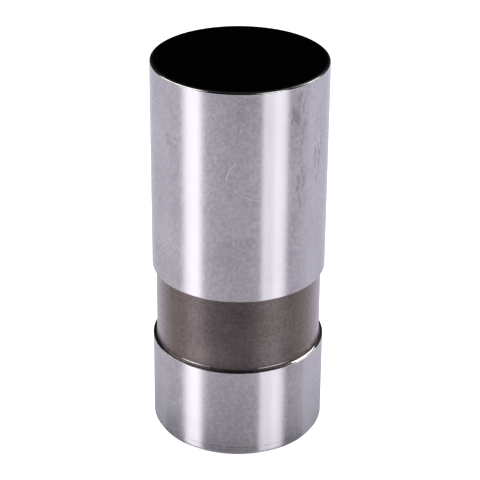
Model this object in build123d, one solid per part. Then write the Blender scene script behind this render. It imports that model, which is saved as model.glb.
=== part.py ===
from build123d import *
import math
import os

# A solid flat tappet lifter, standing on its open pushrod end with its cam face up.
# Millimetres. The axis is Z, and Z is 0 on the flat rim of the pushrod end.

# Outside of the body
BODY_DIAMETER = 22.21
BODY_LENGTH = 50.8
LEAD_IN_WIDTH = 0.34
LEAD_IN_HEIGHT = 0.55
FACE_EDGE = 0.12
CROWN_RADIUS = 1270.0

# Oil band, a shallow turned groove round the body
BAND_START = 12.44
BAND_WIDTH = 10.36
BAND_DEPTH = 0.5
BAND_ROOT = 0.22
BAND_EDGE = 0.08

# Bore, from the mouth at the pushrod end up to the foot
MOUTH_DIAMETER = 16.0
MOUTH_CHAMFER = 0.6
CHAMBER_DIAMETER = 13.0
CHAMBER_CORNER = 1.2
FOOT_THICKNESS = 4.6
SHOULDER_EDGE = 0.15

# Oil feed hole, drilled from the band into the chamber on the side away from the front
FEED_HOLE_DIAMETER = 2.4
FEED_HOLE_RISE = 5.18
FEED_HOLE_CHAMFER = 0.25

# Retaining ring, a flat snap ring that is sprung into its groove
RING_START = 4.0
RING_THICKNESS = 1.0
RING_WIDTH = 1.3
RING_GAP = 3.4
RING_GROOVE_DEPTH = 0.45
RING_CLEARANCE = 0.03
RING_END_PLAY = 0.08

# Pushrod seat, held between the ring and the disc
SEAT_HEIGHT = 7.0
SEAT_CLEARANCE = 0.02
SEAT_EDGE = 0.2
BALL_DIAMETER = 7.94
SOCKET_CLEARANCE = 0.03
SOCKET_CENTRE_DEPTH = 0.9
DISH_DIAMETER = 11.6
SEAT_OIL_HOLE = 1.6
OIL_RECESS_DIAMETER = 6.0
OIL_RECESS_DEPTH = 0.7

# Metering disc, between the seat and the shoulder
DISC_THICKNESS = 1.0
DISC_CLEARANCE = 0.05
DISC_EDGE = 0.15
ORIFICE_DIAMETER = 0.8

# A cutting tool runs this far past the face that it enters
TOOL_OVERRUN = 1.0

BODY_R = BODY_DIAMETER / 2
BAND_R = BODY_R - BAND_DEPTH
BAND_END = BAND_START + BAND_WIDTH
MOUTH_R = MOUTH_DIAMETER / 2
CHAMBER_R = CHAMBER_DIAMETER / 2
CHAMBER_END = BODY_LENGTH - FOOT_THICKNESS
GROOVE_R = MOUTH_R + RING_GROOVE_DEPTH
RING_R = GROOVE_R - RING_CLEARANCE
SEAT_R = MOUTH_R - SEAT_CLEARANCE
SEAT_START = RING_START + RING_THICKNESS
SEAT_END = SEAT_START + SEAT_HEIGHT
SHOULDER = SEAT_END + DISC_THICKNESS
SOCKET_R = BALL_DIAMETER / 2 + SOCKET_CLEARANCE
SOCKET_CENTRE = SEAT_START + SOCKET_CENTRE_DEPTH


def turned(outline):
    """Spins a closed outline of radius against height about the lifter's axis."""
    return revolve(Plane.XZ * make_face(outline), Axis.Z)


def turned_polygon(*points):
    """Spins a polygon of (radius, height) points about the lifter's axis."""
    return turned(Polyline(*points, close=True))


def face_height(radius):
    """Height of the crowned cam face at a distance from the axis."""
    return BODY_LENGTH - CROWN_RADIUS + math.sqrt(CROWN_RADIUS**2 - radius**2)


def outer_blank():
    """The turned bar: lead-in chamfer below, straight side, and crowned cam face above."""
    face_r = BODY_R - FACE_EDGE
    rim = (face_r, face_height(face_r))
    side = Polyline(
        (0, BODY_LENGTH),
        (0, 0),
        (BODY_R - LEAD_IN_WIDTH, 0),
        (BODY_R, LEAD_IN_HEIGHT),
        (BODY_R, rim[1] - FACE_EDGE),
        rim,
    )
    middle = (face_r / 2, face_height(face_r / 2))
    return turned(side + ThreePointArc(rim, middle, (0, BODY_LENGTH)))


def oil_band():
    """What the grooving tool turns away: bevelled roots, and broken edges outside."""
    outside = BODY_R + TOOL_OVERRUN
    reach = BAND_EDGE + TOOL_OVERRUN
    return turned_polygon(
        (BAND_R, BAND_START + BAND_ROOT),
        (BAND_R + BAND_ROOT, BAND_START),
        (BODY_R - BAND_EDGE, BAND_START),
        (outside, BAND_START - reach),
        (outside, BAND_END + reach),
        (BODY_R - BAND_EDGE, BAND_END),
        (BAND_R + BAND_ROOT, BAND_END),
        (BAND_R, BAND_END - BAND_ROOT),
    )


def bore():
    """The hollow: chamfered mouth, shoulder for the disc, and chamber up to the foot."""
    return turned_polygon(
        (0, -TOOL_OVERRUN),
        (MOUTH_R + MOUTH_CHAMFER + TOOL_OVERRUN, -TOOL_OVERRUN),
        (MOUTH_R, MOUTH_CHAMFER),
        (MOUTH_R, SHOULDER),
        (CHAMBER_R + SHOULDER_EDGE, SHOULDER),
        (CHAMBER_R, SHOULDER + SHOULDER_EDGE),
        (CHAMBER_R, CHAMBER_END - CHAMBER_CORNER),
        (CHAMBER_R - CHAMBER_CORNER, CHAMBER_END),
        (0, CHAMBER_END),
    )


def ring_groove():
    """The square groove in the mouth. The ring lies on its lower wall, with end play above."""
    inside = GROOVE_R - RING_WIDTH
    top = RING_START + RING_THICKNESS + RING_END_PLAY
    return turned_polygon(
        (inside, RING_START),
        (GROOVE_R, RING_START),
        (GROOVE_R, top),
        (inside, top),
    )


def feed_hole():
    """The drilled oil feed hole, pointing along +Y, with its outer edge broken."""
    drill_r = FEED_HOLE_DIAMETER / 2
    out = Plane(origin=(0, 0, BAND_START + FEED_HOLE_RISE), x_dir=(1, 0, 0), z_dir=(0, 1, 0))
    drill = out * extrude(Circle(drill_r), BODY_R + TOOL_OVERRUN)
    sink_length = FEED_HOLE_CHAMFER + TOOL_OVERRUN
    sink_align = (Align.CENTER, Align.CENTER, Align.MIN)
    sink = Cone(drill_r, drill_r + sink_length, sink_length, align=sink_align)
    return drill + out * Pos(0, 0, BAND_R - FEED_HOLE_CHAMFER) * sink


def lifter_body():
    """The body, one piece of steel."""
    return outer_blank() - oil_band() - bore() - ring_groove() - feed_hole()


def pushrod_seat():
    """The cup: dish and ball socket facing the mouth, oil hole and oil recess behind."""
    recess_r = OIL_RECESS_DIAMETER / 2
    cup = turned_polygon(
        (0, SEAT_START),
        (SEAT_R - SEAT_EDGE, SEAT_START),
        (SEAT_R, SEAT_START + SEAT_EDGE),
        (SEAT_R, SEAT_END - SEAT_EDGE),
        (SEAT_R - SEAT_EDGE, SEAT_END),
        (recess_r, SEAT_END),
        (recess_r, SEAT_END - OIL_RECESS_DEPTH),
        (0, SEAT_END - OIL_RECESS_DEPTH),
    )
    dish = turned_polygon(
        (0, SEAT_START - TOOL_OVERRUN),
        (DISH_DIAMETER / 2, SEAT_START - TOOL_OVERRUN),
        (DISH_DIAMETER / 2, SEAT_START),
        (SOCKET_R, SOCKET_CENTRE),
        (0, SOCKET_CENTRE),
    )
    socket = Pos(0, 0, SOCKET_CENTRE) * Sphere(SOCKET_R)
    oil_hole = Pos(0, 0, SOCKET_CENTRE) * extrude(Circle(SEAT_OIL_HOLE / 2), SEAT_HEIGHT)
    return cup - dish - socket - oil_hole


def metering_disc():
    """The thin plate with the orifice, flat between the seat and the shoulder."""
    radius = MOUTH_R - DISC_CLEARANCE
    return turned_polygon(
        (ORIFICE_DIAMETER / 2, SEAT_END),
        (radius - DISC_EDGE, SEAT_END),
        (radius, SEAT_END + DISC_EDGE),
        (radius, SHOULDER - DISC_EDGE),
        (radius - DISC_EDGE, SHOULDER),
        (ORIFICE_DIAMETER / 2, SHOULDER),
    )


def retaining_ring():
    """The split flat ring, with its gap on the +X side."""
    gap_angle = math.degrees(RING_GAP / RING_R)
    middle = (RING_R - RING_WIDTH / 2, RING_START + RING_THICKNESS / 2)
    section = Plane.XZ * Pos(*middle) * Rectangle(RING_WIDTH, RING_THICKNESS)
    ring = revolve(section, Axis.Z, revolution_arc=360 - gap_angle)
    return Rot(0, 0, gap_angle / 2) * ring


PIECES = {
    "lifter_body": lifter_body,
    "pushrod_seat": pushrod_seat,
    "metering_disc": metering_disc,
    "retaining_ring": retaining_ring,
}

os.makedirs("parts", exist_ok=True)
for name, make in PIECES.items():
    export_step(make(), f"parts/{name}.step")
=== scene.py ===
import math

import bmesh
import bpy
import numpy as np
from mathutils import Matrix, Vector


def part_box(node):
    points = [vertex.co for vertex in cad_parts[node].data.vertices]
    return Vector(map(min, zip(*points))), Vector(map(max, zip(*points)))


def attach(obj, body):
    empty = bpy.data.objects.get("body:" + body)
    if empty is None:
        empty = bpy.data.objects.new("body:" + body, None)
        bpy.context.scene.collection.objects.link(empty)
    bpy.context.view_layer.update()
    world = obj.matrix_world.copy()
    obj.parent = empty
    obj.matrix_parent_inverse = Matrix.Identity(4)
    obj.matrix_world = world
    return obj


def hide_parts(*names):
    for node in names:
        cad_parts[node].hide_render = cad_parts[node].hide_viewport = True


# A solid flat tappet lifter, stood on its open pushrod end with its cam face up, as photographed.
# Metres throughout. The axis is Z, Z is 0 on the rim of the pushrod end, and -Y is the front.
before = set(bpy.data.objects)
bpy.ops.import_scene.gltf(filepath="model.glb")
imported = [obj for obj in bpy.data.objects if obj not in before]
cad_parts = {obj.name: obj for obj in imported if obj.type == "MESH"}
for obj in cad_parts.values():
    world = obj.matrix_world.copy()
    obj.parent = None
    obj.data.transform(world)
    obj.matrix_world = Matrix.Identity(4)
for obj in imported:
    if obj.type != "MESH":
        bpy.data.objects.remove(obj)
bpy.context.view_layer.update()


# Lifter body
# One bar of tool steel: turned, bored out from the pushrod end and cross drilled for oil, then
# hardened, which leaves the turned oil band brown, and round ground on the barrel and the land.
# The slightly crowned cam face is lapped and carries a hard black coating.
MM = 0.001
_, BODY_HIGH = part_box("lifter_body")
BODY_R = BODY_HIGH[0]
FACE_TOP = BODY_HIGH[2]
CROWN_R = 1270 * MM
FACE_EDGE = 0.28 * MM
LEAD_IN_WIDTH = 0.34 * MM
LEAD_IN_HEIGHT = 0.55 * MM
STOP_LINE = 1.25 * MM
STOP_LINE_DEPTH = 0.016 * MM
STOP_LINE_HALF = 0.028 * MM
BAND_LOW = 12.44 * MM
BAND_HIGH = 22.80 * MM
BAND_R = BODY_R - 0.5 * MM
BAND_ROOT = 0.36 * MM
BAND_BREAK = 0.08 * MM
MOUTH_R = 8.0 * MM
MOUTH_CHAMFER = 0.6 * MM
GROOVE_R = MOUTH_R + 0.45 * MM
GROOVE_LOW = 4.0 * MM
GROOVE_HIGH = 5.08 * MM
SHOULDER = 13.0 * MM
CHAMBER_R = 6.5 * MM
CHAMBER_TOP = FACE_TOP - 4.6 * MM
CHAMBER_CORNER = 1.2 * MM
FEED_R = 1.2 * MM
FEED_SINK = 0.25 * MM
FEED_Z = BAND_LOW + 5.18 * MM
FINE_BREAK = 0.03 * MM
FINE_ROWS = 3
LAND_BREAK = 0.05 * MM
SOFT_BREAK = 0.1 * MM
ROUND = 384
PATCH = 14
EVEN_CORNER = math.radians(28)


def rounded_outline(corners, closed=False, arc_rows=6, hold=0.02 * MM):
    """Points of (radius, height) along straight runs joined by arcs. A corner is (radius, height,
    arc radius, rows), with rows the number of faces on the run to the next corner. An arc of
    radius r touches its two runs at r / tan(half the corner's angle) from the corner, and its
    points turn evenly about its centre, with fewer of them where it only breaks an edge. A run
    that meets an arc has one more point close to it, so that the flat part is shaded flat."""
    spots = np.array([corner[:2] for corner in corners], float)
    arcs = []
    for i, (_, _, radius, _) in enumerate(corners):
        if not radius:
            arcs.append(spots[i : i + 1])
            continue
        ways = [spots[j] - spots[i] for j in (i - 1, (i + 1) % len(spots))]
        back, on = [way / np.linalg.norm(way) for way in ways]
        half = math.acos(np.clip(back @ on, -1, 1)) / 2
        reach = radius / math.tan(half)
        centre = spots[i] + (back + on) / np.linalg.norm(back + on) * radius / math.sin(half)
        start, stop = spots[i] + back * reach - centre, spots[i] + on * reach - centre
        turn = math.pi - 2 * half
        faces = arc_rows if radius > FINE_BREAK else FINE_ROWS
        part = np.linspace(0, 1, faces + 1)[:, None]
        swept = np.sin((1 - part) * turn) * start + np.sin(part * turn) * stop
        arcs.append(centre + swept / math.sin(turn))
    outline = []
    for i, (_, _, _, rows) in enumerate(corners):
        outline.append(arcs[i])
        if i + 1 == len(corners) and not closed:
            break
        after = arcs[(i + 1) % len(corners)]
        length = np.linalg.norm(after[0] - arcs[i][-1])
        near = min(hold / length, 0.25)
        share = [near] * (len(arcs[i]) > 1) + [*np.linspace(0, 1, rows + 1)[1:-1]]
        share = np.array(share + [1 - near] * (len(after) > 1))
        outline.append(arcs[i][-1] + share[:, None] * (after[0] - arcs[i][-1]))
    if closed:
        outline.append(outline[0][:1])
    return np.concatenate(outline)


def spun(outline, turns):
    """Grid of points: x = radius * sin(turn), y = -radius * cos(turn), z = height, for each point
    of the outline and each turn. Turn 0 is the front."""
    radius, height = outline[:, :1], outline[:, 1:]
    grid = [radius * np.sin(turns), -radius * np.cos(turns), height + 0 * turns]
    return np.stack(grid, axis=-1)


def grid_faces(rows, columns, closed, first=0):
    """Quads between neighbouring rows and columns of a grid whose points are numbered from first.
    The last column joins the first one where the grid is closed."""
    across = columns if closed else columns - 1
    row, column = np.meshgrid(np.arange(rows - 1), np.arange(across), indexing="ij")
    after = (column + 1) % columns
    low, high = row * columns, (row + 1) * columns
    corners = [low + column, high + column, high + after, low + after]
    return first + np.stack(corners, axis=-1)


def steel_piece(name, points, faces, finish, materials, weld=2e-8, crease=EVEN_CORNER):
    """A mesh object from points, quads, and each quad's material number. Points that lie together
    are welded, so seams and poles are closed, and corners sharper than crease stay sharp."""
    mesh = bpy.data.meshes.new(name)
    mesh.vertices.add(len(points))
    mesh.vertices.foreach_set("co", np.ascontiguousarray(points, np.float32).ravel())
    mesh.loops.add(faces.size)
    mesh.loops.foreach_set("vertex_index", faces.astype(np.int32).ravel())
    mesh.polygons.add(len(faces))
    mesh.polygons.foreach_set("loop_start", np.arange(0, faces.size, 4, dtype=np.int32))
    mesh.polygons.foreach_set("material_index", np.asarray(finish, np.int32))
    mesh.update(calc_edges=True)
    merged = bmesh.new()
    merged.from_mesh(mesh)
    bmesh.ops.remove_doubles(merged, verts=merged.verts, dist=weld)
    merged.to_mesh(mesh)
    merged.free()
    for material in materials:
        mesh.materials.append(material)
    mesh.polygons.foreach_set("use_smooth", np.ones(len(mesh.polygons), bool))
    mesh.set_sharp_from_angle(angle=crease)
    piece = bpy.data.objects.new(name, mesh)
    bpy.context.scene.collection.objects.link(piece)
    return piece


def crown(radius):
    """Height of the cam face, a sphere of CROWN_R that touches FACE_TOP on the axis."""
    return FACE_TOP - CROWN_R + np.sqrt(CROWN_R**2 - radius**2)


def feed_tube():
    """The drilled oil hole on +Y as a grid of loops. The first loop is the square left open in the
    band, the last the square left open in the chamber. Between them the loops pass over to a circle
    on the band, down the countersink and the drilled wall, and from a circle on the chamber wall to
    its square. On a wall of radius R, (across, up) lies at turn pi - across / R."""
    part = np.arange(8 * PATCH) / PATCH
    square = np.clip(np.abs(np.stack([part, part - 2]) % 8 - 4) - 2, -1, 1)
    circle = np.stack([np.cos(part * math.pi / 4), np.sin(part * math.pi / 4)])

    def on_wall(radius, opening, share):
        half = PATCH * 2 * math.pi / ROUND * radius
        across = (1 - share) * square[0] * half
        across += share * radius * np.arcsin(opening * circle[0] / radius)
        up = (1 - share) * square[1] * half + share * opening * circle[1]
        turn = across / radius
        return np.stack([radius * np.sin(turn), radius * np.cos(turn), FEED_Z + up], axis=-1)

    def in_bore(depth):
        return np.stack([FEED_R * circle[0], depth + 0 * part, FEED_Z + FEED_R * circle[1]], axis=-1)

    outer = [on_wall(BAND_R, FEED_R + FEED_SINK, share) for share in np.linspace(0, 1, 6)]
    sink = in_bore(BAND_R - FEED_SINK)
    inner = [on_wall(CHAMBER_R, FEED_R, share) for share in np.linspace(1, 0, 4)]
    drilled = [sink + share * (inner[0] - sink) for share in np.linspace(0, 1, 6)[:-1]]
    return np.stack(outer + drilled + inner)


COATED, EDGE, GROUND, TEMPERED, ROOT, BORED = range(6)
DRESS_FADE = math.radians(6)
# Start and stop in degrees, radius where the drop begins, drop, finish
DRESSED = (
    (39, 66, BAND_R + 0.12 * MM, 0.08 * MM, EDGE),
    (-80, -38, BAND_R + 0.33 * MM, 0.03 * MM, GROUND),
)
NEAR_LEDGE = 0.06 * MM


def dressed(points, outline, turns):
    """Lowers the ledge's outer edge by the drop of each DRESSED stretch, between its two turns.
    The drop grows outwards from the stretch's own radius, fades out down the land, and starts and
    ends as 3 t^2 - 2 t^3 over DRESS_FADE."""
    radius, height = outline.T
    near = np.clip(1 - (BAND_LOW - height) / MM, 0, 1) * (height < BAND_LOW + BAND_ROOT)
    lowered = points.copy()
    for start, stop, inner, drop, _ in DRESSED:
        ramps = [(turns - math.radians(start)) / DRESS_FADE, (math.radians(stop) - turns) / DRESS_FADE]
        ramps = np.clip(ramps, 0, 1)
        window = np.prod(3 * ramps**2 - 2 * ramps**3, axis=0)
        share = np.clip((radius - inner) / (BODY_R - inner), 0, 1) * near
        lowered[..., 2] -= drop * share[:, None] * window
    return lowered


# Start and stop in degrees of the stretches of the band's lower root given bright steel: a painted
# highlight where the lamps glint
PAINTED_GLINT_STRETCHES = ((-43, -20), (14, 37))
FACE_R = BODY_R - 1.3 * FACE_EDGE
STEP = 2 * math.pi / ROUND

crown_rows = [(radius, crown(radius), 0, 1) for radius in np.linspace(0, FACE_R, 13)[:-1]]
body_outline = rounded_outline(
    [
        *crown_rows,
        (BODY_R, crown(BODY_R), FACE_EDGE, 12),
        (BODY_R, BAND_HIGH, BAND_BREAK, 1),
        (BAND_R, BAND_HIGH, BAND_ROOT, 2),
        (BAND_R, FEED_Z + PATCH * STEP * BAND_R, 0, 2 * PATCH),
        (BAND_R, FEED_Z - PATCH * STEP * BAND_R, 0, 2),
        (BAND_R, BAND_LOW, BAND_ROOT, 1),
        (BODY_R, BAND_LOW, LAND_BREAK, 8),
        (BODY_R, STOP_LINE + STOP_LINE_HALF, 0, 1),
        (BODY_R - STOP_LINE_DEPTH, STOP_LINE, 0, 1),
        (BODY_R, STOP_LINE - STOP_LINE_HALF, 0, 1),
        (BODY_R, LEAD_IN_HEIGHT, LAND_BREAK, 2),
        (BODY_R - LEAD_IN_WIDTH, 0, LAND_BREAK, 2),
        (MOUTH_R + MOUTH_CHAMFER, 0, FINE_BREAK, 2),
        (MOUTH_R, MOUTH_CHAMFER, FINE_BREAK, 3),
        (MOUTH_R, GROOVE_LOW, FINE_BREAK, 1),
        (GROOVE_R, GROOVE_LOW, FINE_BREAK, 2),
        (GROOVE_R, GROOVE_HIGH, FINE_BREAK, 1),
        (MOUTH_R, GROOVE_HIGH, FINE_BREAK, 5),
        (MOUTH_R, SHOULDER, FINE_BREAK, 1),
        (CHAMBER_R, SHOULDER, SOFT_BREAK, 2),
        (CHAMBER_R, FEED_Z - PATCH * STEP * CHAMBER_R, 0, 2 * PATCH),
        (CHAMBER_R, FEED_Z + PATCH * STEP * CHAMBER_R, 0, 10),
        (CHAMBER_R, CHAMBER_TOP - CHAMBER_CORNER, FINE_BREAK, 2),
        (CHAMBER_R - CHAMBER_CORNER, CHAMBER_TOP, FINE_BREAK, 5),
        (0, CHAMBER_TOP, 0, 0),
    ]
)
body_turns = (np.arange(ROUND) * STEP + math.pi) % (2 * math.pi) - math.pi
body_grid = dressed(spun(body_outline, body_turns), body_outline, body_turns)
body_faces = grid_faces(len(body_outline), ROUND, closed=True)

row_radius, row_height = (body_outline[1:] + body_outline[:-1]).T / 2
inside = np.arange(len(row_radius)) >= np.flatnonzero(body_outline[:, 1] < 1e-9)[-1]
row_finish = np.where(inside, BORED, GROUND)
row_finish[~inside & (row_height > crown(BODY_R) - FACE_EDGE)] = EDGE
row_finish[~inside & (row_radius < BODY_R - 0.35 * FACE_EDGE) & (row_height > CHAMBER_TOP)] = COATED
in_band = (row_height < BAND_HIGH + 1e-9) & (row_height > BAND_LOW - 1e-9)
row_finish[~inside & in_band & (row_radius < BODY_R)] = TEMPERED
in_root = np.abs(row_height - BAND_LOW - 0.75 * BAND_ROOT) < 0.25 * BAND_ROOT
body_finish = np.repeat(row_finish[:, None], ROUND, axis=1)
# The painted highlight: bright steel in the upper half of the lower root, in each stretch
for start, stop in np.radians(PAINTED_GLINT_STRETCHES):
    body_finish[np.ix_(in_root, (body_turns > start) & (body_turns < stop))] = ROOT
on_ledge = ~inside & (np.abs(row_height - BAND_LOW) < NEAR_LEDGE)
for start, stop, inner, _, finish in DRESSED:
    stretch = (body_turns > math.radians(start)) & (body_turns < math.radians(stop))
    body_finish[np.ix_(on_ledge & (row_radius > inner), stretch)] = finish

column = np.arange(ROUND)
beside = (column >= ROUND // 2 - PATCH) & (column < ROUND // 2 + PATCH)
kept = np.ones(body_finish.shape, bool)
for wall, half in ((BAND_R, PATCH * STEP * BAND_R), (CHAMBER_R, PATCH * STEP * CHAMBER_R)):
    level = (np.abs(row_radius - wall) < 1e-9) & (np.abs(row_height - FEED_Z) < half)
    kept[np.ix_(level, beside)] = False

tube_grid = feed_tube()
tube_faces = grid_faces(*tube_grid.shape[:2], closed=True, first=body_grid[..., 0].size)
tube_finish = np.full(tube_faces.shape[:2], BORED)
tube_finish[:5] = TEMPERED


def put(tree, kind, wires=None, **choices):
    """Adds a shader node. choices are its own settings, and wires gives each named or numbered
    input a value, or the output that feeds it."""
    node = tree.nodes.new("ShaderNode" + kind)
    for name, value in choices.items():
        setattr(node, name, value)
    for socket, value in (wires or {}).items():
        if isinstance(value, bpy.types.NodeSocket):
            tree.links.new(value, node.inputs[socket])
        else:
            node.inputs[socket].default_value = value
    return node


def calc(tree, operation, first, second=0.0, third=0.0, clamp=False):
    """The output of a math node."""
    wires = {0: first, 1: second, 2: third}
    return put(tree, "Math", wires, operation=operation, use_clamp=clamp).outputs[0]


def blend(tree, factor, first, second):
    """The colour that goes from first to second as factor goes from 0 to 1."""
    return put(tree, "Mix", {0: factor, 6: first, 7: second}, data_type="RGBA").outputs[2]


def eased(tree, value, start, stop):
    """0 where value is at start and 1 where it is at stop, eased at both."""
    wires = {0: value, 1: start, 2: stop}
    return put(tree, "MapRange", wires, interpolation_type="SMOOTHSTEP").outputs[0]


def straight(tree, value, start, stop):
    """0 where value is at start and 1 where it is at stop, in a straight line."""
    return put(tree, "MapRange", {0: value, 1: start, 2: stop}).outputs[0]


def shared_group(name, inputs, outputs):
    """An empty node group with named inputs and outputs, and its two end nodes. A socket is given
    by its name and its kind."""
    tree = bpy.data.node_groups.new(name, "ShaderNodeTree")
    for way, sockets in (("INPUT", inputs), ("OUTPUT", outputs)):
        for label, kind in sockets:
            tree.interface.new_socket(label, in_out=way, socket_type="NodeSocket" + kind)
    return tree, tree.nodes.new("NodeGroupInput"), tree.nodes.new("NodeGroupOutput")


def unrolled_group():
    """Where a point is on the unrolled side of a turned piece: millimetres across, to the right of
    the front, and millimetres up."""
    outputs = [("Across", "Float"), ("Up", "Float")]
    tree, given, result = shared_group("Unrolled Side", [("Vector", "Vector")], outputs)
    x, y, z = put(tree, "SeparateXYZ", {0: given.outputs[0]}).outputs
    turn = calc(tree, "ARCTAN2", x, calc(tree, "MULTIPLY", y, -1.0))
    tree.links.new(calc(tree, "MULTIPLY", turn, BODY_R / MM), result.inputs["Across"])
    tree.links.new(calc(tree, "DIVIDE", z, MM), result.inputs["Up"])
    return tree


def skin_group():
    """The uneven skin of worked steel. Mottle is a fine grain, Streak runs along the axis, Rings
    run round it as tool marks do, and Cloud is broad. All lie about 0.5."""
    outputs = [(name, "Float") for name in ("Mottle", "Streak", "Rings", "Cloud")]
    tree, given, result = shared_group("Worked Skin", [("Vector", "Vector")], outputs)
    stretches = {
        "Mottle": (2600, 2600, 2400),
        "Streak": (1500, 1500, 70),
        "Rings": (60, 60, 9000),
        "Cloud": (170, 170, 130),
    }
    for name, stretch in stretches.items():
        place = put(tree, "Mapping", {"Vector": given.outputs[0], "Scale": stretch})
        wires = {"Vector": place.outputs[0], "Scale": 1.0, "Detail": 3.0, "Roughness": 0.6}
        tree.links.new(put(tree, "TexNoise", wires).outputs["Fac"], result.inputs[name])
    return tree


def spot_group():
    """A soft oval blemish on the side of a turned piece: 1 at its middle, falling to 0 at its size,
    with a ragged edge."""
    numbers = ("Across", "Up", "Wide", "High")
    inputs = [("Vector", "Vector"), *[(name, "Float") for name in numbers]]
    tree, given, result = shared_group("Soft Blemish", inputs, [("Mask", "Float")])
    side = put(tree, "Group", {0: given.outputs["Vector"]}, node_tree=unrolled)
    reaches = []
    for place, size in (("Across", "Wide"), ("Up", "High")):
        away = calc(tree, "SUBTRACT", side.outputs[place], given.outputs[place])
        reaches.append(calc(tree, "POWER", calc(tree, "DIVIDE", away, given.outputs[size]), 2.0))
    reach = calc(tree, "SQRT", calc(tree, "ADD", *reaches))
    rag = put(tree, "TexNoise", {"Vector": given.outputs["Vector"], "Scale": 900.0, "Detail": 3.0})
    reach = calc(tree, "MULTIPLY_ADD", calc(tree, "SUBTRACT", rag.outputs["Fac"], 0.5), 0.9, reach)
    tree.links.new(eased(tree, reach, 1.0, 0.25), result.inputs[0])
    return tree


def scratch_group():
    """A hairline scratch on the side of a turned piece: an arc about a centre, with its radius and
    width in millimetres. It starts at one angle and sweeps on, both in turns of the circle."""
    numbers = ("Across", "Up", "Radius", "Start", "Sweep", "Width")
    inputs = [("Vector", "Vector"), *[(name, "Float") for name in numbers]]
    tree, given, result = shared_group("Arc Scratch", inputs, [("Mask", "Float")])
    side = put(tree, "Group", {0: given.outputs["Vector"]}, node_tree=unrolled)
    right = calc(tree, "SUBTRACT", side.outputs["Across"], given.outputs["Across"])
    up = calc(tree, "SUBTRACT", side.outputs["Up"], given.outputs["Up"])
    squares = calc(tree, "ADD", calc(tree, "POWER", right, 2.0), calc(tree, "POWER", up, 2.0))
    away = calc(tree, "SQRT", squares)
    off = calc(tree, "ABSOLUTE", calc(tree, "SUBTRACT", away, given.outputs["Radius"]))
    line = calc(tree, "SUBTRACT", 1.0, calc(tree, "DIVIDE", off, given.outputs["Width"]), clamp=True)
    turn = calc(tree, "DIVIDE", calc(tree, "ARCTAN2", up, right), 2 * math.pi)
    swept = calc(tree, "FRACT", calc(tree, "SUBTRACT", turn, given.outputs["Start"]))
    part = calc(tree, "DIVIDE", swept, given.outputs["Sweep"])
    begun = calc(tree, "MULTIPLY", part, 6.0, clamp=True)
    ended = calc(tree, "MULTIPLY_ADD", part, -4.0, 4.0, clamp=True)
    tree.links.new(calc(tree, "MULTIPLY", line, calc(tree, "MULTIPLY", begun, ended)), result.inputs[0])
    return tree


unrolled = unrolled_group()
worked_skin = skin_group()
soft_blemish = spot_group()
arc_scratch = scratch_group()


def steel(name):
    """A new metal material: its tree, its shader, the piece's own coordinates and its skin."""
    material = bpy.data.materials.new(name)
    material.use_nodes = True
    tree = material.node_tree
    shader = tree.nodes["Principled BSDF"]
    shader.inputs["Metallic"].default_value = 1.0
    place = put(tree, "TexCoord").outputs["Object"]
    skin = put(tree, "Group", {0: place}, node_tree=worked_skin).outputs
    return material, tree, shader, place, skin


def uneven(tree, base, *parts):
    """base, made lighter and darker by each (value about 0.5, amount)."""
    total = 1.0
    for value, amount in parts:
        total = calc(tree, "MULTIPLY_ADD", calc(tree, "SUBTRACT", value, 0.5), amount, total)
    return put(tree, "VectorMath", {0: base, "Scale": total}, operation="SCALE").outputs[0]


def uneven_number(tree, base, *parts):
    """The number base, raised and lowered by each (value about 0.5, amount)."""
    for value, amount in parts:
        base = calc(tree, "MULTIPLY_ADD", calc(tree, "SUBTRACT", value, 0.5), amount, base)
    return base


def spot(tree, place, across, up, wide, high):
    """The mask of a soft blemish, from its place, half width and half height in millimetres."""
    wires = {0: place, "Across": across, "Up": up, "Wide": wide, "High": high}
    return put(tree, "Group", wires, node_tree=soft_blemish).outputs[0]


def along_axis(tree, shader):
    """Sets the shader's tangent along the piece's axis, so that marks round the piece spread light
    up and down and keep the edges of a reflection crisp to left and right."""
    axis = put(tree, "CombineXYZ", {2: 1.0}).outputs[0]
    ways = {"vector_type": "VECTOR", "convert_from": "OBJECT", "convert_to": "WORLD"}
    turned = put(tree, "VectorTransform", {0: axis}, **ways)
    tree.links.new(turned.outputs[0], shader.inputs["Tangent"])


def marks_bump(tree, shader, height, depth):
    """Feeds a height of 0 to 1 into the shader's normal, with its depth in metres."""
    bump = put(tree, "Bump", {"Height": height, "Distance": depth, "Strength": 1.0})
    tree.links.new(bump.outputs[0], shader.inputs["Normal"])


GROUND_COLOUR = (0.585, 0.555, 0.600)
GREASE = (0.30, 0.28, 0.28, 1.0)
SCRATCH_COLOUR = (0.88, 0.87, 0.90, 1.0)
# Millimetres across and up, half width, half height, depth
SMUDGES = (
    (-9.44, 43.43, 0.9, 0.45, 0.16),
    (-8.9, 42.56, 0.7, 0.4, 0.16),
    (0.61, 49.7, 2.2, 0.8, 0.22),
    (-0.55, 47.9, 1.2, 0.8, 0.14),
    (7.2, 46.6, 0.9, 1.2, 0.22),
    (7.9, 40.9, 0.7, 0.9, 0.26),
    (0.2, 30.9, 3.2, 1.3, 0.14),
    (-11.5, 25.8, 5.5, 4.2, 0.12),
    (-11.5, 47.6, 4.5, 2.4, 0.08),
)
# As the smudges, but broken up into dabs
HANDLED = (
    (7.8, 46.6, 2.0, 5.2, 0.66),
    (7.9, 37.6, 1.5, 7.6, 0.66),
    (11.4, 41.5, 1.2, 6.0, 0.95),
    (-9.2, 43.2, 2.2, 1.5, 0.60),
    (0.3, 47.6, 4.0, 3.0, 0.30),
)
BRIGHT_PATCH = (-0.6, 37.8, 11.0, 8.5, 0.30)
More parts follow.
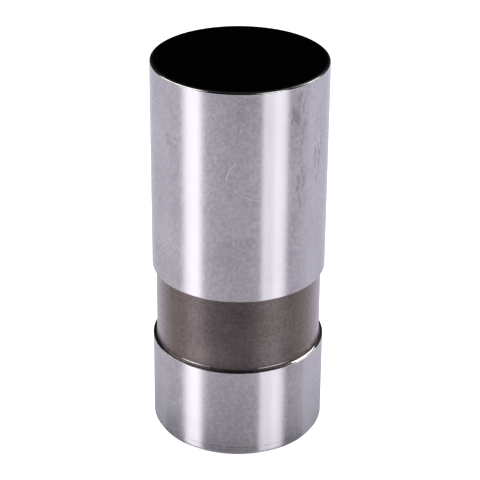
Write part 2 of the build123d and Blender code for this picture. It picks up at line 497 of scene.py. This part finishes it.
# Centre across and up, radius, start and sweep in turns of the circle, width, depth
SCRATCHES = (
    (13.31, 27.35, 19.83, 0.369, 0.013, 0.08, 1.00),
    (2.85, 39.16, 4.40, 0.430, 0.075, 0.10, 1.00),
    (2.42, 40.49, 3.69, 0.577, 0.225, 0.07, 0.48),
    (1.94, 39.81, 2.96, 0.572, 0.190, 0.07, 0.35),
    (-3.05, 39.05, 4.61, 0.986, 0.070, 0.06, 0.55),
    (0.66, 42.49, 0.92, 0.138, 0.198, 0.06, 0.30),
    (1.20, 37.90, 3.03, 0.485, 0.200, 0.06, 0.22),
    (-22.85, 30.56, 22.18, 0.995, 0.024, 0.06, 0.22),
    (-26.30, 30.65, 26.28, 0.990, 0.022, 0.05, 0.18),
    (4.00, 46.00, 3.20, 0.520, 0.160, 0.06, 0.20),
)


def ground_steel():
    """Round ground steel: a satin with a violet grey mottle. The fine grinding marks scatter a
    little light from all round, which is the coat here, unevenly spread. Handling has left faint
    dark smudges and a few hairline scratches."""
    material, tree, shader, place, skin = steel("ground steel")
    parts = [(skin["Mottle"], 0.28), (skin["Streak"], 0.05), (skin["Cloud"], 0.28)]
    colour = uneven(tree, GROUND_COLOUR, *parts)
    haze = uneven_number(tree, 0.28, (skin["Mottle"], 5.2), (skin["Cloud"], 1.8))
    *patch, depth = BRIGHT_PATCH
    haze = calc(tree, "MULTIPLY_ADD", spot(tree, place, *patch), depth, haze)
    dabs = put(tree, "Mapping", {"Vector": place, "Scale": (1250, 1250, 520)}).outputs[0]
    dabs = put(tree, "TexNoise", {"Vector": dabs, "Scale": 1.0, "Detail": 3.0, "Distortion": 0.8})
    dabs = calc(tree, "MULTIPLY_ADD", dabs.outputs["Fac"], 7.0, -3.35, clamp=True)
    for *oval, depth in HANDLED:
        mask = calc(tree, "MULTIPLY", spot(tree, place, *oval), dabs)
        colour = blend(tree, calc(tree, "MULTIPLY", mask, depth), colour, GREASE)
    for *oval, depth in SMUDGES:
        mask = spot(tree, place, *oval)
        colour = blend(tree, calc(tree, "MULTIPLY", mask, depth), colour, GREASE)
    for across, up, radius, start, sweep, width, depth in SCRATCHES:
        wires = {0: place, "Across": across, "Up": up, "Radius": radius}
        wires.update({"Start": start, "Sweep": sweep, "Width": width})
        mask = put(tree, "Group", wires, node_tree=arc_scratch).outputs[0]
        colour = blend(tree, calc(tree, "MULTIPLY", mask, depth), colour, SCRATCH_COLOUR)
    tree.links.new(colour, shader.inputs["Base Color"])
    rough = uneven_number(tree, 0.26, (skin["Cloud"], 0.05), (skin["Mottle"], 0.03))
    tree.links.new(rough, shader.inputs["Roughness"])
    tree.links.new(calc(tree, "ADD", haze, 0.0, clamp=True), shader.inputs["Coat Weight"])
    shader.inputs["Coat Roughness"].default_value = 0.6
    shader.inputs["Coat IOR"].default_value = 2.4
    shader.inputs["Anisotropic"].default_value = 1.0
    along_axis(tree, shader)
    marks_bump(tree, shader, skin["Rings"], 0.0004 * MM)
    return material


def edge_steel():
    """The rounded edge of the cam face and the dressed stretch on the ledge's right, stoned bright."""
    material, tree, shader, _, skin = steel("stoned edge steel")
    colour = uneven(tree, (0.70, 0.68, 0.68), (skin["Mottle"], 0.9), (skin["Cloud"], 0.3))
    tree.links.new(colour, shader.inputs["Base Color"])
    tree.links.new(uneven_number(tree, 0.13, (skin["Cloud"], 0.1)), shader.inputs["Roughness"])
    marks_bump(tree, shader, skin["Mottle"], 0.002 * MM)
    return material


# How bright the painted highlight on the root stays on the right
RIGHT_GLINT_SHARE = 0.74


def root_glint_steel():
    """The upper half of the band's lower root in two stretches, given bright steel there only so
    that it mirrors the lamps: a painted highlight, dimmer on the right."""
    material, tree, shader, place, skin = steel("root glint steel")
    across = put(tree, "SeparateXYZ", {0: place}).outputs[0]
    wires = {0: across, 1: -1.0 * MM, 2: 2.0 * MM, 3: 1.0, 4: RIGHT_GLINT_SHARE}
    share = put(tree, "MapRange", wires).outputs[0]
    colour = uneven(tree, (0.49, 0.45, 0.44), (skin["Mottle"], 0.8), (skin["Cloud"], 0.3))
    colour = put(tree, "VectorMath", {0: colour, "Scale": share}, operation="SCALE").outputs[0]
    tree.links.new(colour, shader.inputs["Base Color"])
    tree.links.new(uneven_number(tree, 0.16, (skin["Cloud"], 0.1)), shader.inputs["Roughness"])
    marks_bump(tree, shader, skin["Rings"], 0.001 * MM)
    return material


# Place, half width and half height in millimetres, depth, colour
BAND_STAINS = (
    ((9.6, 17.0, 4.6, 9.0), 0.60, (0.175, 0.142, 0.135, 1.0)),
    ((-3.0, 14.4, 3.6, 2.6), 0.60, (0.150, 0.118, 0.112, 1.0)),
    ((0.8, 20.3, 3.6, 2.8), 0.55, (0.052, 0.040, 0.037, 1.0)),
    ((7.6, 19.6, 2.0, 2.2), 0.85, (0.125, 0.098, 0.062, 1.0)),
    ((6.2, 15.6, 2.2, 1.0), 0.50, (0.115, 0.080, 0.080, 1.0)),
    ((-9.2, 20.0, 1.6, 2.2), 0.50, (0.120, 0.098, 0.075, 1.0)),
)
# Painted shade in the corner over the ledge: its depth, how far up it reaches, and the distances to the
# side where it begins and is full
PAINTED_CORNER_SHADE = 0.62
PAINTED_SHADE_RISE = 0.95 * MM
PAINTED_SHADE_SIDES = (8.0 * MM, 10.2 * MM)
# Painted sheen by viewing slant: slants where a tint begins and is full, depth, colour
PAINTED_SLANT_SHEEN = (
    (0.32, 0.46, 0.80, (0.165, 0.110, 0.080, 1.0)),
    (0.44, 0.86, 0.85, (0.445, 0.375, 0.405, 1.0)),
)


def tempered_steel():
    """The turned band, browned by the heat of hardening: straw and olive in places, darker and
    blue grey in others, with fine tool marks round it. The brown film itself shines a little, and
    more so where it is seen at a slant, which is the coat here. Its colour is also painted browner,
    then lighter grey, where it is seen at a slant, a painted sheen. A painted shade darkens the
    corner over the ledge towards the left and the right side, and thins the film's shine there."""
    material, tree, shader, place, skin = steel("tempered steel")
    x, _, z = put(tree, "SeparateXYZ", {0: place}).outputs
    low = eased(tree, z, BAND_LOW + PAINTED_SHADE_RISE, BAND_LOW)
    aside = eased(tree, calc(tree, "ABSOLUTE", x), *PAINTED_SHADE_SIDES)
    painted_shade = calc(tree, "MULTIPLY", calc(tree, "MULTIPLY", low, aside), PAINTED_CORNER_SHADE)
    brown, rosy, blue = (0.085, 0.059, 0.057, 1.0), (0.105, 0.072, 0.075, 1.0), (0.058, 0.055, 0.062, 1.0)
    tints = put(tree, "TexNoise", {"Vector": place, "Scale": 260.0, "Detail": 3.0})
    patches = calc(tree, "MULTIPLY_ADD", tints.outputs["Fac"], 4.0, -1.6, clamp=True)
    colour = blend(tree, patches, brown, rosy)
    colour = blend(tree, calc(tree, "MULTIPLY_ADD", skin["Cloud"], 4.0, -2.1, clamp=True), colour, blue)
    for oval, depth, stain in BAND_STAINS:
        mask = spot(tree, place, *oval)
        colour = blend(tree, calc(tree, "MULTIPLY", mask, depth), colour, stain)
    # Painted sheen: the colour turns browner, then lighter grey, where the band is seen at a slant
    slant = put(tree, "LayerWeight", {"Blend": 0.5}).outputs["Facing"]
    for start, stop, depth, tint in PAINTED_SLANT_SHEEN:
        share = eased(tree, slant, start, stop)
        colour = blend(tree, calc(tree, "MULTIPLY", share, depth), colour, tint)
    # Painted shade: the corner over the ledge darker towards the left and the right side
    colour = blend(tree, painted_shade, colour, (0.040, 0.032, 0.028, 1.0))
    colour = uneven(tree, colour, (skin["Mottle"], 0.65), (skin["Streak"], 0.4), (skin["Rings"], 0.45))
    tree.links.new(colour, shader.inputs["Base Color"])
    rough = uneven_number(tree, 0.42, (skin["Cloud"], 0.10), (skin["Streak"], 0.06))
    tree.links.new(rough, shader.inputs["Roughness"])
    film = uneven_number(tree, 0.80, (skin["Mottle"], 1.2), (skin["Rings"], 0.6))
    # The painted shade also thins the film's shine in that corner
    film = calc(tree, "MULTIPLY", film, calc(tree, "SUBTRACT", 1.0, painted_shade))
    tree.links.new(calc(tree, "ADD", film, 0.0, clamp=True), shader.inputs["Coat Weight"])
    shader.inputs["Coat Roughness"].default_value = 0.38
    shader.inputs["Coat IOR"].default_value = 1.65
    shader.inputs["Anisotropic"].default_value = 0.5
    along_axis(tree, shader)
    marks_bump(tree, shader, skin["Rings"], 0.0012 * MM)
    return material


PAINTED_RIM_WIDTH = 0.55 * MM


def coated_steel():
    """The hard black coating of the cam face, lapped to a mirror. It is duller along its rim and
    painted greyer there, a painted sheen for the faint reflection of the rounded edge, and has a little
    dust on it."""
    material, tree, shader, place, skin = steel("black coating")
    shader.inputs["Metallic"].default_value = 0.0
    shader.inputs["IOR"].default_value = 1.6
    dust = put(tree, "TexNoise", {"Vector": place, "Scale": 2600.0, "Detail": 0.0})
    specks = calc(tree, "MULTIPLY_ADD", dust.outputs["Fac"], 14.0, -11.2, clamp=True)
    colour = blend(tree, specks, (0.0008, 0.0008, 0.0009, 1.0), (0.03, 0.03, 0.03, 1.0))
    flat = put(tree, "VectorMath", {0: place, 1: (1, 1, 0)}, operation="MULTIPLY").outputs[0]
    reach = put(tree, "VectorMath", {0: flat}, operation="LENGTH").outputs["Value"]
    # Painted sheen: the rim lighter grey, and rougher
    painted_rim = eased(tree, reach, BODY_R - PAINTED_RIM_WIDTH, BODY_R)
    colour = blend(tree, painted_rim, colour, (0.030, 0.025, 0.026, 1.0))
    tree.links.new(colour, shader.inputs["Base Color"])
    rough = uneven_number(tree, 0.09, (skin["Cloud"], 0.04))
    rough = calc(tree, "MULTIPLY_ADD", painted_rim, 0.2, rough)
    tree.links.new(rough, shader.inputs["Roughness"])
    marks_bump(tree, shader, skin["Mottle"], 0.0001 * MM)
    return material


def bored_steel():
    """The hardened, unground inside of the bore and the drilled hole, darker than the outside, with
    the marks of the boring tool round it."""
    material, tree, shader, _, skin = steel("bored steel")
    parts = [(skin["Mottle"], 0.3), (skin["Rings"], 0.5), (skin["Cloud"], 0.3)]
    colour = uneven(tree, (0.36, 0.34, 0.335), *parts)
    tree.links.new(colour, shader.inputs["Base Color"])
    rough = uneven_number(tree, 0.38, (skin["Rings"], 0.2), (skin["Cloud"], 0.1))
    tree.links.new(rough, shader.inputs["Roughness"])
    marks_bump(tree, shader, skin["Rings"], 0.002 * MM)
    return material


bore_finish = bored_steel()
ground_body = steel_piece(
    "ground_body",
    np.concatenate([body_grid.reshape(-1, 3), tube_grid.reshape(-1, 3)]),
    np.concatenate([body_faces[kept], tube_faces.reshape(-1, 4)]),
    np.concatenate([body_finish[kept], tube_finish.ravel()]),
    (coated_steel(), edge_steel(), ground_steel(), tempered_steel(), root_glint_steel(), bore_finish),
)
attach(ground_body, "root")
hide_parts("lifter_body")


# Metering disc
# A thin plate stamped from spring strip, with the small orifice that meters the oil for the
# pushrod. It lies on the bore's shoulder and is held there by the seat.
DISC_LOW, DISC_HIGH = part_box("metering_disc")
DISC_R = DISC_HIGH[0]
DISC_EDGE = 0.15 * MM
ORIFICE_R = 0.4 * MM
DISC_ROUND = 192


def spring_strip():
    """Tumbled spring strip, grey and even, with a fine grain left by rolling."""
    material, tree, shader, _, skin = steel("spring strip")
    colour = uneven(tree, (0.40, 0.385, 0.37), (skin["Mottle"], 0.3), (skin["Cloud"], 0.2))
    tree.links.new(colour, shader.inputs["Base Color"])
    tree.links.new(uneven_number(tree, 0.36, (skin["Mottle"], 0.1)), shader.inputs["Roughness"])
    marks_bump(tree, shader, skin["Mottle"], 0.001 * MM)
    return material


disc_outline = rounded_outline(
    [
        (ORIFICE_R, DISC_HIGH[2], FINE_BREAK, 3),
        (DISC_R - DISC_EDGE, DISC_HIGH[2], FINE_BREAK, 1),
        (DISC_R, DISC_HIGH[2] - DISC_EDGE, FINE_BREAK, 2),
        (DISC_R, DISC_LOW[2] + DISC_EDGE, FINE_BREAK, 1),
        (DISC_R - DISC_EDGE, DISC_LOW[2], FINE_BREAK, 3),
        (ORIFICE_R, DISC_LOW[2], FINE_BREAK, 2),
    ],
    closed=True,
    arc_rows=3,
)
disc_turns = np.arange(DISC_ROUND) * 2 * math.pi / DISC_ROUND
disc_faces = grid_faces(len(disc_outline), len(disc_turns), closed=True).reshape(-1, 4)
orifice_disc = steel_piece(
    "orifice_disc",
    spun(disc_outline, disc_turns).reshape(-1, 3),
    disc_faces,
    np.zeros(len(disc_faces)),
    (spring_strip(),),
)
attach(orifice_disc, "root")
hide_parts("metering_disc")


# Pushrod seat
# A turned cup of hardened steel with the polished socket that the pushrod's ball turns in. An oil
# hole runs from the socket into a shallow recess behind it. It is dropped in over the disc.
CUP_LOW, CUP_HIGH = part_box("pushrod_seat")
CUP_R = CUP_HIGH[0]
CUP_EDGE = 0.2 * MM
SOCKET_R = 4.0 * MM
SOCKET_Z = CUP_LOW[2] + 0.9 * MM
DISH_R = 5.8 * MM
CUP_HOLE_R = 0.8 * MM
RECESS_R = 3.0 * MM
RECESS_Z = CUP_HIGH[2] - 0.7 * MM
CUP_ROUND = 256
SOCKET, TURNED = range(2)


def turned_cup_steel():
    """Hardened and oil blacked steel with the marks of turning round it."""
    material, tree, shader, _, skin = steel("turned cup steel")
    colour = uneven(tree, (0.30, 0.29, 0.285), (skin["Mottle"], 0.3), (skin["Rings"], 0.4))
    tree.links.new(colour, shader.inputs["Base Color"])
    tree.links.new(uneven_number(tree, 0.34, (skin["Rings"], 0.15)), shader.inputs["Roughness"])
    marks_bump(tree, shader, skin["Rings"], 0.0015 * MM)
    return material


def socket_steel():
    """The socket, lapped bright by its ball, with a few darker clouds."""
    material, tree, shader, _, skin = steel("socket steel")
    colour = uneven(tree, (0.56, 0.545, 0.54), (skin["Cloud"], 0.3), (skin["Mottle"], 0.1))
    tree.links.new(colour, shader.inputs["Base Color"])
    tree.links.new(uneven_number(tree, 0.16, (skin["Cloud"], 0.08)), shader.inputs["Roughness"])
    marks_bump(tree, shader, skin["Mottle"], 0.0003 * MM)
    return material


hole_end = math.acos(CUP_HOLE_R / SOCKET_R)
socket_rows = [
    (SOCKET_R * math.cos(angle), SOCKET_Z + SOCKET_R * math.sin(angle), 0, 1)
    for angle in np.linspace(0, hole_end, 20)[1:-1]
]
cup_outline = rounded_outline(
    [
        (CUP_HOLE_R, RECESS_Z, FINE_BREAK, 2),
        (RECESS_R, RECESS_Z, SOFT_BREAK, 1),
        (RECESS_R, CUP_HIGH[2], FINE_BREAK, 3),
        (CUP_R - CUP_EDGE, CUP_HIGH[2], FINE_BREAK, 1),
        (CUP_R, CUP_HIGH[2] - CUP_EDGE, FINE_BREAK, 6),
        (CUP_R, CUP_LOW[2] + CUP_EDGE, FINE_BREAK, 1),
        (CUP_R - CUP_EDGE, CUP_LOW[2], FINE_BREAK, 2),
        (DISH_R, CUP_LOW[2], SOFT_BREAK, 3),
        (SOCKET_R, SOCKET_Z, SOFT_BREAK, 1),
        *socket_rows,
        (CUP_HOLE_R, SOCKET_Z + SOCKET_R * math.sin(hole_end), FINE_BREAK, 2),
    ],
    closed=True,
    arc_rows=4,
)
cup_turns = np.arange(CUP_ROUND) * 2 * math.pi / CUP_ROUND
cup_faces = grid_faces(len(cup_outline), len(cup_turns), closed=True)
cup_radius, cup_height = (cup_outline[1:] + cup_outline[:-1]).T / 2
in_socket = np.hypot(cup_radius, cup_height - SOCKET_Z) < SOCKET_R * 1.001
in_socket &= (cup_radius > CUP_HOLE_R * 1.01) & (cup_height < RECESS_Z)
cup_finish = np.where(in_socket, SOCKET, TURNED)
pushrod_cup = steel_piece(
    "pushrod_cup",
    spun(cup_outline, cup_turns).reshape(-1, 3),
    cup_faces.reshape(-1, 4),
    np.repeat(cup_finish, len(cup_turns)),
    (socket_steel(), turned_cup_steel()),
)
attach(pushrod_cup, "root")
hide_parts("pushrod_seat")


# Retaining ring
# A flat snap ring of oil tempered spring steel. It is squeezed together over its gap, passed into
# the mouth and let spring out into the groove, where it keeps the cup and the disc in.
RING_LOW, RING_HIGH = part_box("retaining_ring")
RING_R = -RING_LOW[0]
RING_WIDTH = 1.3 * MM
RING_GAP = 3.4 * MM
RING_EDGE = 0.12 * MM
RING_ROUND = 160


def tempered_ring_steel():
    """Oil tempered spring steel, blue black, rubbed brighter where it is smooth."""
    material, tree, shader, _, skin = steel("tempered ring steel")
    wear = calc(tree, "MULTIPLY_ADD", skin["Cloud"], 5.0, -2.4, clamp=True)
    colour = blend(tree, wear, (0.085, 0.085, 0.095, 1.0), (0.20, 0.19, 0.185, 1.0))
    colour = uneven(tree, colour, (skin["Mottle"], 0.5))
    tree.links.new(colour, shader.inputs["Base Color"])
    tree.links.new(uneven_number(tree, 0.42, (skin["Cloud"], -0.3)), shader.inputs["Roughness"])
    marks_bump(tree, shader, skin["Mottle"], 0.001 * MM)
    return material


ring_section = rounded_outline(
    [
        (RING_R - RING_WIDTH, RING_HIGH[2], RING_EDGE, 2),
        (RING_R, RING_HIGH[2], RING_EDGE, 2),
        (RING_R, RING_LOW[2], RING_EDGE, 2),
        (RING_R - RING_WIDTH, RING_LOW[2], RING_EDGE, 2),
    ],
    closed=True,
    arc_rows=4,
)
# Each end is closed by loops that shrink to the middle of the section, the outer ones along a
# quarter circle that breaks the end's edge.
bend = np.linspace(0, math.pi / 2, 5)
end_inset = np.concatenate([[RING_WIDTH / 2, RING_WIDTH / 4], RING_EDGE * (1 - np.sin(bend))])
end_back = np.concatenate([[0, 0], RING_EDGE * (1 - np.cos(bend))])
first_turn = math.pi / 2 + RING_GAP / RING_R / 2
last_turn = first_turn + 2 * math.pi - RING_GAP / RING_R
end_turn = RING_EDGE / RING_R
sweep = np.linspace(first_turn + end_turn, last_turn - end_turn, RING_ROUND)[1:-1]
ring_turns = [first_turn + end_back / RING_R, sweep, last_turn - end_back[::-1] / RING_R]
ring_turns = np.concatenate(ring_turns)
ring_scale = 1 - end_inset / (RING_WIDTH / 2)
ring_scale = np.concatenate([ring_scale, np.ones(len(sweep)), ring_scale[::-1]])
middle = np.array([RING_R - RING_WIDTH / 2, (RING_LOW[2] + RING_HIGH[2]) / 2])
section = middle + (ring_section[:, None] - middle) * ring_scale[:, None]
ring_grid = [
    section[..., 0] * np.sin(ring_turns),
    -section[..., 0] * np.cos(ring_turns),
    section[..., 1],
]
ring_faces = grid_faces(*section.shape[:2], closed=False).reshape(-1, 4)
snap_ring = steel_piece(
    "snap_ring",
    np.stack(ring_grid, axis=-1).reshape(-1, 3),
    ring_faces,
    np.zeros(len(ring_faces)),
    (tempered_ring_steel(),),
)
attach(snap_ring, "root")
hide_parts("retaining_ring")


# Studio
# A white table in a white room, as the camera sees them. The steel mirrors cards of plain colour,
# seen low and through the table, and lamps to its left and right. Above them it is dark, which is
# what the black face mirrors.
FLOOR_REACH = 1.5
LAMP_AWAY = 0.6
# Azimuths and elevations in degrees, brightness
PANELS = {
    "left_lamp": ((-96, -55), (26, 56), 1.9),
    "left_fill": ((-118, -96), (18, 46), 1.9),
    "front_lamp": ((30, 64), (28, 54), 1.3),
    "right_lamp": ((94, 124), (22, 60), 1.9),
    "rear_lamp": ((124, 150), (34, 60), 1.9),
}
# Azimuths and width of the soft edge in degrees, colour
CARDS = {
    "left edge": ((-200, -152), 6, (0.92, 0.90, 1.08)),
    "left side": ((-152, -76), 8, (0.735, 0.73, 0.795)),
    "left strip": ((-75.5, -50), 9, (2.12, 2.11, 2.16)),
    "left front": ((-50, -20), 12, (0.665, 0.638, 0.700)),
    "front": ((-20, 30), 12, (0.625, 0.595, 0.645)),
    "right strip": ((30, 46), 6, (1.40, 1.42, 1.45)),
    "bright right strip": ((46, 63.5), 5, (1.84, 1.86, 1.88)),
    "right gap": ((63.5, 90), 5, (0.65, 0.63, 0.69)),
    "right side": ((90, 152), 10, (0.755, 0.745, 0.83)),
    "right edge": ((152, 200), 10, (0.94, 0.92, 1.12)),
}


TABLE_GLOW = 0.85
SOFT_LIGHT = 0.4
SHADE_DEPTH = 0.6
SHADE_FALL = 8.5 * MM
FAR_FALL = 60 * MM
WEDGE_FADE = 4
# Start and stop in degrees, share that the near shade loses, depth of the far shade
SHADE_WEDGES = (
    (-170, -120, 0.40, 0.0),
    (-120, -78, 0.05, 0.13),
    (-76, -49, 0.70, 0.0),
    (29, 65, 0.65, 0.0),
    (66, 104, 0.0, 0.08),
    (104, 170, 0.32, 0.0),
)


def white_table():
    """So bright for the camera that no shadow shows. The steel sees through it to the cards,
    dimmed by a near shade that falls off from the lifter's foot and, in some wedges round it, by a
    far shade that falls off more slowly."""
    material = bpy.data.materials.new("white table")
    material.use_nodes = True
    tree = material.node_tree
    tree.nodes.clear()
    path = put(tree, "LightPath").outputs
    seen = calc(tree, "ADD", path["Is Camera Ray"], path["Is Transmission Ray"], clamp=True)
    place = put(tree, "TexCoord").outputs["Object"]
    grain = put(tree, "TexNoise", {"Vector": place, "Scale": 40.0, "Detail": 2.0}).outputs["Fac"]
    colour = blend(tree, grain, (0.80, 0.80, 0.80, 1.0), (0.82, 0.82, 0.82, 1.0))
    matte = put(tree, "BsdfDiffuse", {"Color": colour}).outputs[0]
    glow = put(tree, "Emission", {"Strength": calc(tree, "MULTIPLY", seen, TABLE_GLOW)}).outputs[0]
    lit = put(tree, "AddShader", {0: matte, 1: glow}).outputs[0]
    reach = put(tree, "VectorMath", {0: place}, operation="LENGTH").outputs["Value"]
    fall = calc(tree, "DIVIDE", calc(tree, "SUBTRACT", BODY_R, reach), SHADE_FALL)
    shade = calc(tree, "MULTIPLY", calc(tree, "EXPONENT", fall), SHADE_DEPTH)
    x, y, _ = put(tree, "SeparateXYZ", {0: place}).outputs
    turn = calc(tree, "MULTIPLY", calc(tree, "ARCTAN2", x, calc(tree, "MULTIPLY", y, -1.0)), 180 / math.pi)
    ratio = calc(tree, "DIVIDE", reach, BODY_R)
    twice = calc(tree, "MULTIPLY_ADD", ratio, 2.0, -1.0)
    heading = calc(tree, "MULTIPLY", calc(tree, "DIVIDE", ratio, twice), calc(tree, "MULTIPLY", turn, 2.0))
    far = calc(tree, "EXPONENT", calc(tree, "DIVIDE", calc(tree, "SUBTRACT", BODY_R, reach), FAR_FALL))
    for start, stop, near_light, far_depth in SHADE_WEDGES:
        begun = straight(tree, heading, start - WEDGE_FADE, start + WEDGE_FADE)
        ended = straight(tree, heading, stop + WEDGE_FADE, stop - WEDGE_FADE)
        wedge = calc(tree, "MULTIPLY", begun, ended)
        shade = calc(tree, "MULTIPLY", shade, calc(tree, "MULTIPLY_ADD", wedge, -near_light, 1.0))
        shade = calc(tree, "MULTIPLY_ADD", calc(tree, "MULTIPLY", wedge, far), far_depth, shade)
    dark = put(tree, "Emission", {"Strength": 0.0}).outputs[0]
    clear = put(tree, "BsdfTransparent").outputs[0]
    mirrored = put(tree, "MixShader", {0: shade, 1: clear, 2: dark}).outputs[0]
    both = put(tree, "MixShader", {0: path["Is Glossy Ray"], 1: lit, 2: mirrored}).outputs[0]
    put(tree, "OutputMaterial", {"Surface": both})
    return material


mesh = bpy.data.meshes.new("table")
sides = ((-1, -1), (1, -1), (1, 1), (-1, 1))
mesh.from_pydata([(x * FLOOR_REACH, y * FLOOR_REACH, 0) for x, y in sides], [], [(0, 1, 2, 3)])
mesh.materials.append(white_table())
table = bpy.data.objects.new("table", mesh)
bpy.context.scene.collection.objects.link(table)

room = bpy.data.worlds.new("room")
bpy.context.scene.world = room
room.use_nodes = True
tree = room.node_tree
tree.nodes.clear()
path = put(tree, "LightPath").outputs
x, y, z = put(tree, "SeparateXYZ", {0: put(tree, "TexCoord").outputs["Generated"]}).outputs
azimuth = calc(tree, "MULTIPLY", calc(tree, "ARCTAN2", x, calc(tree, "MULTIPLY", y, -1.0)), 180 / math.pi)
cards = put(tree, "CombineXYZ").outputs[0]
for (start, stop), soft, colour in CARDS.values():
    begun = straight(tree, azimuth, start - soft / 2, start + soft / 2)
    ended = straight(tree, azimuth, stop + soft / 2, stop - soft / 2)
    share = calc(tree, "MULTIPLY", begun, ended)
    part = put(tree, "VectorMath", {0: colour, "Scale": share}, operation="SCALE").outputs[0]
    cards = put(tree, "VectorMath", {0: cards, 1: part}, operation="ADD").outputs[0]
low = straight(tree, z, 0.03, -0.05)
mirrored = put(tree, "VectorMath", {0: cards, "Scale": low}, operation="SCALE").outputs[0]
seen = calc(tree, "ADD", path["Is Camera Ray"], path["Is Transmission Ray"], clamp=True)
seen = calc(tree, "MULTIPLY_ADD", path["Is Diffuse Ray"], SOFT_LIGHT, seen)
white = put(tree, "CombineXYZ", {0: seen, 1: seen, 2: seen}).outputs[0]
colour = blend(tree, path["Is Glossy Ray"], white, mirrored)
background = put(tree, "Background", {"Color": colour}).outputs[0]
put(tree, "OutputWorld", {"Surface": background})


def toward(azimuth, elevation):
    """Unit vector at degrees to the right of the front and above the table."""
    turn, rise = math.radians(azimuth), math.radians(elevation)
    return Vector((math.sin(turn) * math.cos(rise), -math.cos(turn) * math.cos(rise), math.sin(rise)))


for name, (azimuths, elevations, brightness) in PANELS.items():
    middle = toward(sum(azimuths) / 2, sum(elevations) / 2)
    lamp = bpy.data.lights.new(name, "AREA")
    lamp.shape = "RECTANGLE"
    level = math.cos(math.radians(sum(elevations) / 2))
    lamp.size = 2 * LAMP_AWAY * level * math.tan(math.radians(azimuths[1] - azimuths[0]) / 2)
    lamp.size_y = 2 * LAMP_AWAY * math.tan(math.radians(elevations[1] - elevations[0]) / 2)
    lamp.energy = 4 * lamp.size * lamp.size_y * brightness
    stand = bpy.data.objects.new(name, lamp)
    stand.location = middle * LAMP_AWAY
    stand.rotation_euler = middle.to_track_quat("Z", "Y").to_euler()
    stand.visible_camera = False
    bpy.context.scene.collection.objects.link(stand)


# Camera
# A long lens in front of the lifter and above it, where a fit to the photograph puts it. Pitch,
# yaw and roll are in radians.
CAMERA_PLACE = Vector((-0.056, -203.92, 132.62)) * MM
PITCH = 0.48293
YAW = 0.0011
ROLL = 0.00828
FOCAL_PIXELS = 1794.9
PICTURE_PIXELS = 480
ahead = Vector((math.sin(YAW) * math.cos(PITCH), math.cos(YAW) * math.cos(PITCH), -math.sin(PITCH)))
level = Vector((math.cos(YAW), -math.sin(YAW), 0))
above = level.cross(ahead)
right = math.cos(ROLL) * level + math.sin(ROLL) * above
top = math.cos(ROLL) * above - math.sin(ROLL) * level
lens = bpy.data.cameras.new("camera")
lens.sensor_width = 36.0
lens.lens = FOCAL_PIXELS / PICTURE_PIXELS * lens.sensor_width
lens.clip_start = 0.01
camera = bpy.data.objects.new("camera", lens)
axes = Matrix((right, top, -ahead)).transposed().to_4x4()
camera.matrix_world = Matrix.Translation(CAMERA_PLACE) @ axes
bpy.context.scene.collection.objects.link(camera)
bpy.context.scene.camera = camera
bpy.context.scene.view_settings.view_transform = "Standard"
